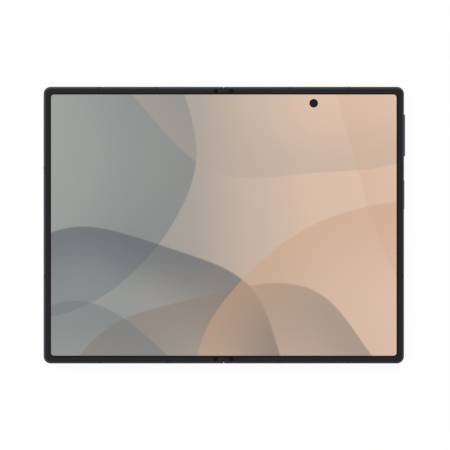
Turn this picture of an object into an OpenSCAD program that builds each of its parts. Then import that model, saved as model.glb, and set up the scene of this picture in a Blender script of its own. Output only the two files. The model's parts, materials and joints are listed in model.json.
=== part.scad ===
// Foldable phone, open flat, lying on its back with the display up.
// X runs across both halves, Y along the fold, Z out of the display.
// Every module draws its piece with the back glass at z = 0, and rest_z then lifts the whole phone
// so that the camera rings, which stand proud of the back, touch the table.
// Pieces of one half are drawn on the +X side, and on_side(-1) mirrors them to the other.

/* [Body] */
// Width of the open phone, without its keys
body_w = 161.4; // [156:0.1:168]
// Length along the fold
body_h = 123.9; // [120:0.1:130]
// Thickness of one half, from back glass to bezel top
body_t = 4.9; // [4.8:0.05:5.4]
// Radius of the four outer corners, seen from the front
corner_r = 3.2; // [2.8:0.1:5]
// Rounding of the rim's front edge
edge_r = 0.8; // [0.6:0.05:0.9]
// Rounding of the rim's back edge
back_r = 0.9; // [0.6:0.05:0.92]
// Wall thickness of the rim
rim_w = 1.8; // [1.7:0.05:2.2]
// Thickness of the plate that the display lies on
mid_t = 0.5; // [0.4:0.05:0.6]
// Thickness of the back glass and of the cover glass
glass_t = 0.55; // [0.45:0.05:0.6]
// Width of an antenna break
break_w = 0.9; // [0.6:0.1:1.4]

/* [Display] */
// Border between the picture and the phone's two long sides
side_border = 3.4; // [3:0.1:5]
// Border between the picture and the phone's top and bottom
end_border = 3.53; // [3.3:0.01:5]
// Radius of the picture's corners
screen_r = 1.3; // [0.8:0.1:2]
// Width of the black border between the picture and the bezel
screen_edge = 0.7; // [0.5:0.05:0.8]
// Height of the bezel over the screen
bezel_rise = 0.3; // [0.2:0.05:0.4]
// Thickness of the display panel
panel_t = 0.53; // [0.45:0.01:0.6]
// Thickness of the steel plate under the panel
plate_t = 0.12; // [0.1:0.01:0.16]
// Radius of the hole for the inner camera
hole_r = 1.94; // [1.6:0.02:2.2]
// Half the width of the strip of display that bends
bend_half = 9; // [8.6:0.1:10]

/* [Fold] */
// Distance from the fold line to each fold axis
axis_in = 1.2; // [1.1:0.05:1.3]
// Gap between the two bezels when the phone is shut
shut_gap = 0.1; // [0.1:0.02:0.2]
// Gap between each half's edge and the fold line
fold_gap = 0.075; // [0.06:0.005:0.12]
// Half the gap in the bezel at each end of the fold
cap_span = 4.35; // [4.3:0.01:4.5]
// Width of the cap at each end of the fold
cap_w = 5.4; // [4.6:0.1:6]
// Thickness of the metal lip that wraps the spine
lip_t = 0.55; // [0.5:0.05:0.6]
// Running gap between the lip and the spine
spine_gap = 0.1; // [0.08:0.01:0.14]
// Wall thickness of the spine cover
spine_wall = 0.45; // [0.35:0.05:0.5]

/* [Hinge] */
// Distance of each hinge module from the middle
module_y = 36; // [34:0.5:40]
// Distance that the shafts lie out from, and below, the fold axes
shaft_drop = 1.15; // [1.1:0.01:1.18]
// Number of teeth on each timing gear
gear_teeth = 10; // [10:2:12]
// Length of the timing gears
gear_l = 3; // [2:0.2:3]
// Radius of the hinge shafts
shaft_r = 0.42; // [0.35:0.01:0.45]
// Inner radius of the sliding shoe
shoe_in = 1.45; // [1.4:0.01:1.5]
// Outer radius of the sliding shoe
shoe_out = 2.1; // [1.95:0.01:2.12]
// Running clearance of shoes and shafts
run_gap = 0.03; // [0.02:0.005:0.05]
// Thickness of the wing plates
wing_t = 0.25; // [0.2:0.05:0.25]

/* [Keys] */
// Length of the volume key
volume_l = 18.77; // [16:0.1:22]
// Middle of the volume key
volume_y = 40.2; // [39:0.1:42]
// How far the volume key stands out
volume_out = 0.53; // [0.35:0.01:0.7]
// Length of the side key
side_l = 13.1; // [11:0.1:15]
// Middle of the side key
side_y = 13.7; // [12:0.1:15]
// How far the side key stands out
side_out = 0.22; // [0.17:0.01:0.4]
// Height of both keys across the rim
key_w = 2.1; // [1.8:0.05:2.2]
// Clearance round each key
key_gap = 0.1; // [0.08:0.01:0.15]

/* [Cameras] */
// Height of the camera island over the back glass
island_h = 1; // [0.6:0.1:1.6]
// Height of the lens rings over the island
ring_h = 0.5; // [0.3:0.1:0.8]
// Width of the camera island
island_w = 20; // [18:0.5:22]
// Distance between the two rear cameras
lens_pitch = 19.5; // [18:0.5:22]
// Outer radius of a lens ring
ring_r = 7.6; // [7:0.1:8.4]

/* [Ports] */
// Width of the charging port's mouth
port_w = 8.34; // [8.34:0.01:8.34]
// Height of the charging port's mouth
port_h = 2.56; // [2.56:0.01:2.56]
// Thickness of the port's metal shell
port_wall = 0.2; // [0.15:0.01:0.25]
// Radius of a speaker hole
grille_r = 0.55; // [0.4:0.05:0.7]
// Width of the card tray's face
tray_w = 15; // [14:0.1:16]

/* [Hidden] */
$fn = 64;

eps = 0.01;
// Amount by which pieces of one solid run into each other, so that they fuse
bite = 0.2;
// Thickness of the glue and foam films between flat pieces
film = 0.05;
// Clearance round a flat cable or a stamped piece
slip = 0.1;
rest_z = island_h + ring_h;

// Levels above the back glass
bezel_proud = 0.35;
bezel_seat = 0.25;
screen_z = body_t - bezel_rise;
panel_z = screen_z - panel_t;
plate_z = panel_z - plate_t;
mid_z = plate_z - mid_t;
rim_top = body_t - bezel_proud;
bezel_z = rim_top - bezel_seat;
glass_seat = glass_t + film;
side_z = (back_r + rim_top - edge_r) / 2;
bay_z = glass_seat + 0.15;
bay_top = mid_z - slip;

// Plan positions
half_w = body_w / 2;
half_h = body_h / 2;
screen_h = body_h - 2 * end_border;
glass_in = 0.95;
wall_x = half_w - rim_w;
wall_y = half_h - rim_w;
end_wall = 0.95;
// Thinner part of the end wall, over the spine's end plate
end_skin = 0.5;
// The panel runs on under the bezel, as far as the rim lets it
panel_edge = min(screen_edge + 0.5, min(side_border, end_border) - rim_w - 0.3);
panel_r = 2;
// End of the strip that bends, beside the caps
strip_end = screen_h / 2 + screen_edge;
cap_end = half_h - end_wall - slip;

// Fold axes, spine and rail
axis_z = body_t - axis_in + shut_gap / 2;
spine_r = axis_z - lip_t - spine_gap;
cradle_r = spine_r + spine_gap;
spine_in_r = spine_r - spine_wall;
spine_floor = axis_z - spine_in_r;
spine_half = half_h - end_skin - slip;
spine_end = 0.6;
wing_z = plate_z - film - wing_t;
spine_top = wing_z - slip;
rail_top = wing_z - 0.35;
rail_x = bend_half + 2;
strip_x = axis_in + cradle_r + 0.8;
wing_out = bend_half - 0.3;
wing_in = axis_in;
wing_half = half_h - 3.75;
wing_pin_r = wing_t / 2;
wing_pin_l = 0.8;
wing_side_gap = 0.15;
seam_notch_r = 0.35;
// Caps at the ends of the fold: depth of the crown, gap beside it, and the ledges of the bezels there
cap_d = 1.1;
cap_gap = 0.15;
ledge_t = 0.2;

// Hinge modules, measured from each module's middle
shaft_x = axis_in + shaft_drop;
shaft_z = axis_z - shaft_drop;
gear_r = shaft_x / 3;
gear_module = 2 * gear_r / gear_teeth;
gear_angle = 28;
// Half the angle that is taken off each tooth for play
gear_play = 1.6;
ear_z = axis_z - 1.05;
ear_t = 0.42;
notch_z = ear_z - 0.08;
knuckle_r = 0.74;
// Radius kept free round each fold axis
fold_clear_r = 0.72;
arm_w = 2.8;
arm_t = 0.42;
arm_y = gear_l / 2 + slip;
arm_gap = 0.15;
arm_pin_r = 0.21;
arm_pin_l = 0.5;
cheek_y = 5;
cheek_t = 0.7;
shoe_y = 6.1;
shoe_w = 5;
// Angle at which the shoe's ring starts, and the angle that it spans
shoe_from = -140;
shoe_turn = 121;
module_half = 11.6;
bracket_screw_y = 8.6;
screw_bite = 0.6;
ear_out = bend_half - 1;
ear_screw_x = ear_out - 1.6;
ear_screw_y = 1.4;
arm_out = bend_half + 0.3;
arm_dip = shaft_drop * (sqrt(2) - 1);
module_ys = [-module_y, module_y];
washer_t = 0.3;
washer_pitch = 0.42;
washer_r = 0.85;

// Cameras
island_x = half_w - 14.2;
island_y = half_h - 26.2;
island_lip = 1.5;
lens_ys = [island_y - lens_pitch / 2, island_y + lens_pitch / 2];
ring_neck_r = ring_r - 1.3;
ring_soft = 0.2;
flash_r = 2.35;
flash_pos = [island_x - 15.5, island_y + lens_pitch / 2 + 2];
lens_seat = 0.25;
lens_in = ring_r - 2;
barrel_r = lens_in - 0.6;
camera_half = 5.8;
hole_pos = [half_w / 2 - 0.08, half_h - 7.4];
inner_half = 3.6;
cover_hole = [half_w / 2, half_h - 7.4];
cover_hole_r = 1.9;
cover_half = 3.2;

// Antenna breaks: along the top, along the bottom, and up the side with the keys between them
break_top = [half_w - 50.8, half_w - 24.7];
break_bottom = [half_w - 55.7, half_w - 25.3];
break_side = [39.15 - half_h, (volume_y - volume_l / 2 + side_y + side_l / 2) / 2];

// Ports and grilles
port_x = half_w / 2;
port_l = 7.4;
port_z = glass_seat + film + port_wall + port_h / 2;
port_fit = 0.05;
tongue_w = 6.69;
tongue_t = 0.7;
mic_r = 0.4;
mic_out = 12;
grille_pitch = 2.2;
bottom_grille = [for (i = [0:5]) wall_x - 21.9 + i * grille_pitch];
top_grille = [for (i = [0:4]) wall_x - 16.9 - i * grille_pitch];
tray_x = half_w / 2 - 0.35;
tray_z = side_z;
tray_l = 17;
tray_t = 0.7;
tray_h = 1.9;
tray_gap = 0.08;
card_w = 12.3;
card_l = 8.8;

// Key switches: the wall that backs their strip, and their domes
strip_wall = wall_x - 2.4;
strip_t = 0.3;
strip_over = 1;
strip_y = [side_y - side_l / 2 - strip_over, volume_y + volume_l / 2 + strip_over];
dome_h = 0.4;
dome_y = 6;
press_gap = 0.25;
key_soft = 0.25;
key_flange = 0.25;
volume_swing = 0.25;
side_swing = 0.05;
pivot_r = 0.4;
pivot_x = strip_wall + strip_t + run_gap + pivot_r;

// Insides: boards, bosses and bays. A bay is given by its limits in X and in Y.
board_z = 1.55;
board_t = 0.75;
board_in = 0.6;
board_r = 1.2;
// Gaps from the board's edges to the camera, to the battery's side and to its top
board_gap = [0.7, 1.4, 2.4];
// Lengths of board beside the battery's top edge: under it, and the neck's overlap with the arm
neck_drop = [16, 13];
neck_over = 3;
// The board's outer edge keeps this far from the rim, behind the keys' switches
board_out = 6.9;
cover_z = glass_t + film + 0.4;
flex_ys = [-12, 12];
flex_w = 8;
flex_t = 0.15;
idler_pin_r = 0.25;
screw_r = 0.45;
screw_head_r = 1.05;
screw_head_t = 0.55;
boss_r = 1.3;
boss_floor = 1.2;
edge_y = wall_y - 3.15;
battery_r = [rail_x + 2, wall_x - 22.9, 24.15 - wall_y, wall_y - 38.15];
battery_l = [rail_x + 2, wall_x - 12.9, 26.15 - wall_y, wall_y - 26.15];
bay_gap = 0.3;
bay_wall = 0.6;
bay_r = 1.5;
bay_window = 16;
low_speaker = [wall_x - 28.9, wall_x - 4.9, slip - wall_y, 20.15 - wall_y];
high_speaker = [wall_x - 28.9, wall_x - 8.9, wall_y - 15.15, wall_y - slip];
haptic = [rail_x + 9, rail_x + 21, 8.15 - wall_y, 18.15 - wall_y];
// Cans over the chips: their corners, their gap to the board's edge and to the cameras, and their lengths
can_r = 1;
can_edge = 4;
can_gap = 2.4;
can_rise = 11;
can_l = [21, 15, 17];
coil_r = 20;
coil_in = 11;
coil_t = 0.14;
coil_pos = [rail_x + 5 + coil_r, (battery_r[2] + battery_r[3]) / 2];
magnet_ys = [8.15 - wall_y, -24, -10];
magnet_l = 7;
magnet_x = [wall_x - 4.3, wall_x - 1.1];
magnet_t = 1.6;
// Each boss has its place, and 1 where a board is clamped under it
right_bosses = [
  [rail_x + 3, edge_y, 1], [wall_x - 24, edge_y - 26, 1], [rail_x + 3, edge_y - 27, 1],
  [wall_x - 22, -edge_y, 0], [rail_x + 11, -edge_y, 0], [wall_x - 3.4, 23.15 - wall_y, 0]
];
left_bosses = [
  [rail_x + 3, edge_y, 1], [wall_x - 4.4, wall_y - 20.15, 0],
  [rail_x + 3, -edge_y, 0], [wall_x - 18, -edge_y, 0]
];

// Lower level of a boss, on the board or on the bay's floor
function boss_z(p) = p[2] == 1 ? board_z + board_t : board_z + film;

// Screw positions in a half, on the ears of the sliding shoes
function ear_screws(side) = [
  for (m = module_ys, d = [-ear_screw_y, ear_screw_y]) [ear_screw_x, m + side * (shoe_y + shoe_w / 2) + d]
];

// A gear's radii, its half tooth angle at radius rho by the involute, and its flank's points
gear_tip = gear_r + 0.82 * gear_module;
gear_root = gear_r - 1.15 * gear_module;
gear_base = gear_r * cos(gear_angle);
flank = [for (i = [0:4]) gear_base + (gear_tip - gear_base) * i / 4];
function inv(a) = tan(a) * 180 / PI - a;
function half_tooth(rho) =
  90 / gear_teeth - gear_play + inv(gear_angle) - inv(acos(min(1, gear_base / rho)));
function polar(r, a) = [r * cos(a), r * sin(a)];

module on_side(side) {
  if (side > 0) children();
  else mirror([1, 0, 0]) children();
}

module lift() {
  translate([0, 0, rest_z]) children();
}

// Box given by its limits
module slab(x0, x1, y0, y1, z0, z1) {
  translate([x0, y0, z0]) cube([x1 - x0, y1 - y0, z1 - z0]);
}

// Round bar along Y
module rod(x, z, r, y0, y1) {
  translate([x, y0, z]) rotate([-90, 0, 0]) cylinder(r = r, h = y1 - y0);
}

// Profile drawn in X and Z, run along Y
module run_y(y0, y1) {
  translate([0, y1, 0]) rotate([90, 0, 0]) linear_extrude(y1 - y0) children();
}

// Bar with round ends, drawn in 2D round the origin
module stadium(l, w) {
  square([l - w, w], center = true);
  for (s = [-1, 1]) translate([s * (l - w) / 2, 0]) circle(w / 2);
}

// Rectangle given by its limits, with four round corners
module soft_rect(x0, x1, y0, y1, r) {
  translate([x0 + r, y0]) square([x1 - x0 - 2 * r, y1 - y0]);
  translate([x0, y0 + r]) square([x1 - x0, y1 - y0 - 2 * r]);
  for (x = [x0 + r, x1 - r], y = [y0 + r, y1 - r]) translate([x, y]) circle(r);
}

// Block with round upright corners
module soft_block(x0, x1, y0, y1, z0, z1, r) {
  translate([0, 0, z0]) linear_extrude(z1 - z0) soft_rect(x0, x1, y0, y1, r);
}

// Plan of one half from x_in outwards, set in from the outside, with round outer corners
module half_plan(inset_x, inset_y, x_in, r) {
  x1 = half_w - inset_x;
  y1 = half_h - inset_y;
  translate([x_in, -y1]) square([x1 - x_in - r, 2 * y1]);
  translate([x_in, -y1 + r]) square([x1 - x_in, 2 * y1 - 2 * r]);
  for (s = [-1, 1]) translate([x1 - r, s * (y1 - r)]) circle(r);
}

// Runs a profile round the three outer sides of a half. In the profile, x is the distance
// in from the outside and y is the height.
module sweep_rim(x_from) {
  straight = half_w - corner_r - x_from;
  for (s = [0, 1]) mirror([0, s, 0]) {
    translate([x_from, -half_h, 0]) rotate([90, 0, 90]) linear_extrude(straight) children();
    translate([half_w - corner_r, -half_h + corner_r, 0]) rotate([0, 0, -90])
      rotate_extrude(angle = 90) translate([corner_r, 0]) mirror([1, 0]) children();
  }
  translate([half_w, half_h - corner_r, 0]) rotate([90, 0, 0])
    linear_extrude(body_h - 2 * corner_r) mirror([1, 0]) children();
}

// Cross-section of the metal rim, with a shelf for the bezel and a rebate for the glass
module rim_profile() {
  difference() {
    union() {
      translate([0, back_r]) square([rim_w, rim_top - edge_r - back_r]);
      translate([edge_r, back_r]) square([rim_w - edge_r, rim_top - back_r]);
      translate([edge_r, rim_top - edge_r]) circle(edge_r);
      translate([back_r, back_r]) circle(back_r);
      translate([back_r, 0]) square([rim_w - back_r, back_r]);
    }
    translate([edge_r, bezel_z]) square([rim_w, 1]);
    translate([glass_in, -1]) square([rim_w, 1 + glass_seat]);
  }
}

// Space that the spine and the far half need beside this half
module spine_room() {
  y = half_h - end_wall;
  run_y(-y, y) {
    translate([axis_in, axis_z]) circle(cradle_r);
    translate([-1, lip_t]) square([1 + axis_in, body_t]);
    translate([axis_in, axis_z]) square([cradle_r, body_t]);
  }
  // The spine's end plate runs on under the rim
  y_skin = half_h - end_skin;
  run_y(-y_skin, y_skin) {
    difference() {
      translate([axis_in, axis_z]) circle(cradle_r);
      translate([axis_in, spine_top + slip]) square(2 * cradle_r);
    }
    translate([-1, lip_t]) square([1 + axis_in, body_t]);
  }
  // The ends round over the fold axis, so that the halves clear each other half shut
  run_y(-body_h, body_h) difference() {
    translate([-1, axis_z]) square([1 + axis_in, body_t]);
    translate([axis_in, axis_z]) circle(axis_in - fold_gap);
  }
  // The rim's ends are rounded where the two halves meet
  for (s = [-1, 1]) translate([0, s * half_h, -1]) linear_extrude(body_t + 2) difference() {
    square([2 * (fold_gap + seam_notch_r), 2 * seam_notch_r], center = true);
    translate([fold_gap + seam_notch_r, -s * seam_notch_r]) circle(seam_notch_r);
  }
}

module antenna_slots() {
  w = break_w;
  for (x = break_top) slab(x - w / 2, x + w / 2, wall_y, half_h + 1, -1, body_t);
  for (x = break_bottom) slab(x - w / 2, x + w / 2, -half_h - 1, -wall_y, -1, body_t);
  for (y = break_side) slab(wall_x, half_w + 1, y - w / 2, y + w / 2, -1, body_t);
}

// Pockets that the shoes' ears, the arms and the flat cables need in the rail
module rail_pockets(side) {
  ear_half = shoe_w / 2 + film;
  arm_half = arm_w / 2 + arm_gap;
  pin_half = arm_w / 2 + arm_pin_l + bite;
  flex_half = flex_w / 2 + 2 * slip;
  arm_floor = ear_z - arm_dip - film;
  for (m = module_ys) {
    ear_0 = m + side * (shoe_y + shoe_w / 2);
    arm_0 = m + side * (arm_y + arm_w / 2);
    slab(axis_in, ear_out + film, ear_0 - ear_half, ear_0 + ear_half, ear_z - film / 2, body_t);
    slab(axis_in, arm_out + 0.6, arm_0 - arm_half, arm_0 + arm_half, arm_floor, body_t);
    slab(arm_out - 3.4, arm_out + arm_gap, arm_0 - pin_half, arm_0 + pin_half, arm_floor, wing_z);
  }
  for (y = flex_ys) slab(axis_in, rail_x + 1, y - flex_half, y + flex_half, ear_z - slip, plate_z);
}

// Rim, display plate, hinge rail and lip, machined in one piece
module frame_base(side, bosses) {
  difference() {
    union() {
      sweep_rim(fold_gap) rim_profile();
      slab(bend_half, wall_x + bite, -wall_y - bite, wall_y + bite, mid_z, plate_z);
      slab(fold_gap, strip_x, -wall_y - bite, wall_y + bite, 0, rail_top);
      slab(strip_x - bite, rail_x, -wall_y - bite, wall_y + bite, glass_seat, rail_top);
      slab(bend_half, rail_x, -wall_y - bite, wall_y + bite, rail_top - bite, mid_z + bite);
      for (s = [0, 1]) mirror([0, s, 0]) wing_ear();
      for (p = bosses) translate([p[0], p[1], boss_z(p)]) cylinder(r = boss_r, h = mid_z - boss_z(p) + bite);
    }
    spine_room();
    antenna_slots();
    rail_pockets(side);
    for (p = bosses) translate([p[0], p[1], board_z - screw_head_t]) cylinder(r = screw_r, h = 2);
    for (p = ear_screws(side)) translate([p[0], p[1], boss_floor]) cylinder(r = screw_r, h = body_t);
    for (s = [0, 1]) mirror([0, s, 0])
      rod(wing_out - wing_pin_r, wing_z + wing_pin_r, wing_pin_r + run_gap,
        wing_half - 1, wing_half + wing_pin_l + slip);
  }
}

// Block that holds one end of a wing plate's pivot
module wing_ear() {
  slab(wing_out - 0.6, bend_half + bite, wing_half + wing_side_gap, wall_y + bite,
    rail_top - bite, plate_z - film);
}

// Block round a battery, wider by a margin on each side
module bay_block(b, margin, z0, z1) {
  soft_block(b[0] - margin, b[1] + margin, b[2] - margin, b[3] + margin, z0, z1, bay_r);
}

// Thin walls that locate a battery, hanging from the display plate
module bay_walls(b) {
  middle = (b[2] + b[3]) / 2;
  difference() {
    bay_block(b, bay_gap + bay_wall, board_z, mid_z + bite);
    bay_block(b, bay_gap, 0, mid_z + 1);
    slab(b[0] - 2, b[1] + 2, middle - bay_window / 2, middle + bay_window / 2, 1, mid_z);
  }
}

// Slot through the rim's long side for a key
module key_slot(y, l) {
  translate([wall_x - 1, y, side_z]) rotate([90, 0, 90])
    linear_extrude(rim_w + 2) stadium(l + 2 * key_gap, key_w + 2 * key_gap);
}

// Mouth for the port in the rim, and room for its shell behind
module port_opening() {
  over = 2 * (port_wall + port_fit);
  room = (port_w + over) / 2 + 0.8;
  translate([port_x, -half_h - 1, port_z]) rotate([-90, 0, 0])
    linear_extrude(rim_w + 2) stadium(port_w + over, port_h + over);
  slab(port_x - room, port_x + room, -wall_y - 0.3, -half_h + port_l + 0.4, glass_seat, plate_z + 1);
}

module right_frame() {
  color("#3b3e46") difference() {
    union() {
      frame_base(1, right_bosses);
      bay_walls(battery_r);
      // Backing wall for the key switches
      slab(strip_wall - 0.8, strip_wall, strip_y[0] - 0.4, strip_y[1] + 0.4,
        side_z - key_w / 2 - film, mid_z + bite);
    }
    key_slot(volume_y, volume_l);
    key_slot(side_y, side_l);
    port_opening();
    for (x = bottom_grille) rod(x, side_z, grille_r, -half_h - 1, -wall_y + 1);
    for (s = [-1, 1]) rod(port_x + s * mic_out, side_z, mic_r, -half_h - 1, -wall_y + 1);
    rod(port_x - mic_out, side_z, mic_r, wall_y - 1, half_h + 1);
    translate([hole_pos[0], hole_pos[1], mid_z - 1]) cylinder(r = hole_r + 0.6, h = 3);
  }
}

module left_frame() {
  color("#3b3e46") on_side(-1) difference() {
    union() {
      frame_base(-1, left_bosses);
      bay_walls(battery_l);
    }
    translate([tray_x, -half_h - 1, tray_z]) rotate([-90, 0, 0])
      linear_extrude(rim_w + 2) stadium(tray_w + 2 * tray_gap, tray_h + 2 * tray_gap);
    for (x = top_grille) rod(x, side_z, grille_r, wall_y - 1, half_h + 1);
    rod(rail_x + 9, side_z, mic_r, wall_y - 1, half_h + 1);
  }
}

module antenna_breaks(side) {
  color("#2b2d33") on_side(side) intersection() {
    sweep_rim(fold_gap) rim_profile();
    antenna_slots();
  }
}

// Soft black frame that stands over the edge of the screen, with a low ledge beside each fold cap
module bezel(side) {
  soft_r = 0.3;
  top_r = corner_r - edge_r;
  color("#1d1d1e") on_side(side) {
    difference() {
      union() {
        translate([0, 0, bezel_z]) linear_extrude(body_t - soft_r - bezel_z)
          half_plan(edge_r, edge_r, cap_span, top_r);
        translate([0, 0, bezel_z]) linear_extrude(body_t - bezel_z)
          half_plan(edge_r + soft_r, edge_r + soft_r, cap_span, top_r - soft_r);
        sweep_rim(cap_span) translate([edge_r + soft_r, body_t - soft_r]) circle(soft_r);
      }
      translate([0, 0, screen_z]) linear_extrude(1)
        half_plan(side_border - screen_edge, end_border - screen_edge, -1, screen_r + screen_edge);
      translate([0, 0, -1]) linear_extrude(1 + screen_z + film / 2) panel_plan(-1, film);
    }
    for (s = [0, 1]) mirror([0, s, 0]) bezel_ledge();
  }
}

module bezel_ledge() {
  x0 = cap_w / 2 + cap_gap;
  y_room = screen_h / 2 + panel_edge + film;
  slab(x0, cap_span - slip, strip_end + slip, cap_end, bezel_z, bezel_z + ledge_t);
  slab(x0, cap_span + bite, y_room, cap_end, bezel_z, bezel_z + ledge_t);
}

// Plan of the display stack in one half, from x_in outwards, grown by a gap
module panel_plan(x_in, gap) {
  half_plan(side_border - panel_edge - gap, end_border - panel_edge - gap, x_in, panel_r);
}

module right_display_panel() {
  color("#caa893") difference() {
    translate([0, 0, panel_z]) linear_extrude(panel_t) panel_plan(bend_half, 0);
    translate([hole_pos[0], hole_pos[1], panel_z - 1]) cylinder(r = hole_r, h = 3);
  }
}

module left_display_panel() {
  color("#96989a") on_side(-1)
    translate([0, 0, panel_z]) linear_extrude(panel_t) panel_plan(bend_half, 0);
}

module display_plate(side) {
  color("#8b8d90") on_side(side) difference() {
    translate([0, 0, plate_z]) linear_extrude(plate_t) panel_plan(bend_half + film, 0);
    if (side > 0) translate([hole_pos[0], hole_pos[1], 0]) cylinder(r = hole_r + bay_gap, h = body_t);
  }
}

// Plan of the strip that bends, cut back at its ends to clear the caps
module bend_plan(gap) {
  y = screen_h / 2 + panel_edge;
  square([2 * (bend_half - gap), 2 * strip_end], center = true);
  for (s = [-1, 1]) translate([s * (bend_half - gap + cap_span) / 2, 0])
    square([bend_half - gap - cap_span, 2 * y], center = true);
}

module fold_display() {
  color("#b1a9a2") translate([0, 0, panel_z]) linear_extrude(panel_t) bend_plan(0.02);
}

// Steel lattice that lets the strip bend: rows of staggered slots along the fold
module fold_lattice() {
  slot_l = 5.6;
  slot_w = 0.3;
  pitch = 7;
  row = 0.8;
  rows_up = floor((screen_h / 2 - pitch) / pitch);
  color("#8b8d90") translate([0, 0, plate_z]) linear_extrude(plate_t) difference() {
    bend_plan(film);
    for (i = [-3:3], j = [-rows_up:rows_up])
      translate([i * row, (j + (i % 2 == 0 ? 0 : 0.5)) * pitch]) square([slot_w, slot_l], center = true);
  }
}

// Outline of the spine in X and Z, round both fold axes
module spine_outline(r, top) {
  intersection() {
    union() {
      for (s = [-1, 1]) translate([s * axis_in, axis_z]) circle(r);
      translate([-axis_in, axis_z - r]) square([2 * axis_in, r]);
    }
    translate([-10, -1]) square([20, 1 + top]);
  }
}

// Notches in the spine's side walls for the ears, arms and flat cables
module spine_notches() {
  ear_half = shoe_w / 2 + slip;
  arm_half = arm_w / 2 + arm_gap;
  flex_half = flex_w / 2 + 2 * slip;
  for (side = [-1, 1], m = module_ys) {
    ear_0 = m + side * (shoe_y + shoe_w / 2);
    arm_0 = m + side * (arm_y + arm_w / 2);
    on_side(side) slab(axis_in, ear_out, ear_0 - ear_half, ear_0 + ear_half, notch_z, body_t);
    on_side(side) slab(axis_in, ear_out, arm_0 - arm_half, arm_0 + arm_half, notch_z, body_t);
  }
  for (y = flex_ys) slab(-ear_out, ear_out, y - flex_half, y + flex_half, notch_z, body_t);
}

module spine_cover() {
  color("#3b3e46") difference() {
    union() {
      run_y(-spine_half, spine_half) difference() {
        spine_outline(spine_r, spine_top);
        spine_outline(spine_in_r, body_t);
      }
      for (s = [0, 1]) mirror([0, s, 0])
        run_y(spine_half - spine_end, spine_half) spine_outline(spine_r, spine_top);
    }
    spine_notches();
    for (m = module_ys, s = [-1, 1]) translate([0, m + s * bracket_screw_y, 0])
      cylinder(r = screw_r + 0.05, h = spine_floor + eps);
  }
}

// Ring sector round a fold axis, from angle a0 over a turn, measured from +X towards +Z
module shoe_ring(r0, r1, y0, y1, a0, turn) {
  translate([axis_in, y1, axis_z]) rotate([90, 0, 0]) rotate([0, 0, a0])
    rotate_extrude(angle = turn) translate([r0, 0]) square([r1 - r0, y1 - y0]);
}

// Groove for the shoe of the +X half in the bracket, with the way out for its ear
module shoe_groove(y0, y1) {
  shoe_ring(shoe_in - run_gap, shoe_out + run_gap, y0, y1, -180, 360);
  run_y(y0, y1) difference() {
    translate([axis_in, notch_z]) square([6, body_t]);
    translate([axis_in, axis_z]) circle(shoe_in - run_gap);
  }
}

// One bracket: two grooved ends for the shoes, and an open bay between two cheeks for the gears
module hinge_bracket() {
  r = spine_in_r - film;
  top = axis_z - 0.35;
  bay_floor = shaft_z - gear_tip - slip;
  rib_x = axis_in - knuckle_r - 0.04;
  difference() {
    union() {
      for (s = [0, 1]) mirror([0, s, 0]) {
        run_y(cheek_y, module_half) spine_outline(r, top);
        slab(-rib_x, rib_x, cheek_y, module_half, top - bite, plate_z - film);
      }
      run_y(-cheek_y - bite, cheek_y + bite) spine_outline(r, bay_floor);
    }
    shoe_groove(shoe_y - run_gap, shoe_y + shoe_w + run_gap);
    on_side(-1) shoe_groove(-shoe_y - shoe_w - run_gap, -shoe_y + run_gap);
    for (s = [-1, 1]) {
      rod(s * axis_in, axis_z, fold_clear_r, -module_half - 1, module_half + 1);
      rod(s * shaft_x, shaft_z, shaft_r + run_gap, -cheek_y - cheek_t, cheek_y + cheek_t);
      rod(s * gear_r, shaft_z, idler_pin_r, -cheek_y - cheek_t, cheek_y + cheek_t);
    }
    for (s = [-1, 1]) translate([0, s * bracket_screw_y, 0])
      cylinder(r = screw_r, h = spine_floor + screw_bite);
  }
  for (s = [-1, 1]) rod(s * gear_r, shaft_z, idler_pin_r, -cheek_y - cheek_t, cheek_y + cheek_t);
}

module hinge_brackets() {
  color("#8f9196") for (m = module_ys) translate([0, m, 0]) hinge_bracket();
}

module bracket_screws() {
  color("#b9bbbf") for (m = module_ys, s = [-1, 1]) translate([0, m + s * bracket_screw_y, axis_z - spine_r])
    cylinder(r = screw_r - film, h = spine_wall + screw_bite);
}

// Caps that close the fold at its two ends, each with a crown next to the screen and a shelf behind it
module fold_caps() {
  y0 = strip_end + slip;
  y1 = y0 + cap_d;
  top = body_t - 0.15;
  shelf = bezel_z - film;
  crown_r = 8;
  color("#1d1d1e") for (s = [0, 1]) mirror([0, s, 0]) intersection() {
    union() {
      slab(-cap_w / 2, cap_w / 2, y0, spine_half - spine_end - film, spine_floor + film, shelf);
      slab(-cap_w / 2, cap_w / 2, y0, cap_end, spine_top + film, shelf);
      intersection() {
        rod(0, top - crown_r, crown_r, y0, y1);
        slab(-cap_w / 2, cap_w / 2, y0, y1, spine_top + film, body_t);
        run_x(-cap_w, cap_w) soft_rect(y0, y1, 0, top, 0.45);
      }
    }
    run_y(y0 - 1, spine_half + 1) spine_outline(spine_in_r - film, body_t + 1);
  }
}

// Profile drawn in Y and Z, run along X
module run_x(x0, x1) {
  translate([x0, 0, 0]) rotate([90, 0, 90]) linear_extrude(x1 - x0) children();
}

// Sliding shoe of one half: a ring sector that turns in the bracket, and an ear screwed to the rail
module rotors(side) {
  color("#9a9ca1") on_side(side) difference() {
    for (m = module_ys) {
      y0 = m + (side > 0 ? shoe_y : -shoe_y - shoe_w);
      shoe_ring(shoe_in, shoe_out, y0, y0 + shoe_w, shoe_from, shoe_turn);
      slab(axis_in + shoe_in, ear_out, y0, y0 + shoe_w, ear_z, ear_z + ear_t);
    }
    for (p = ear_screws(side)) translate([p[0], p[1], 0]) cylinder(r = screw_r, h = body_t);
  }
}

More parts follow.
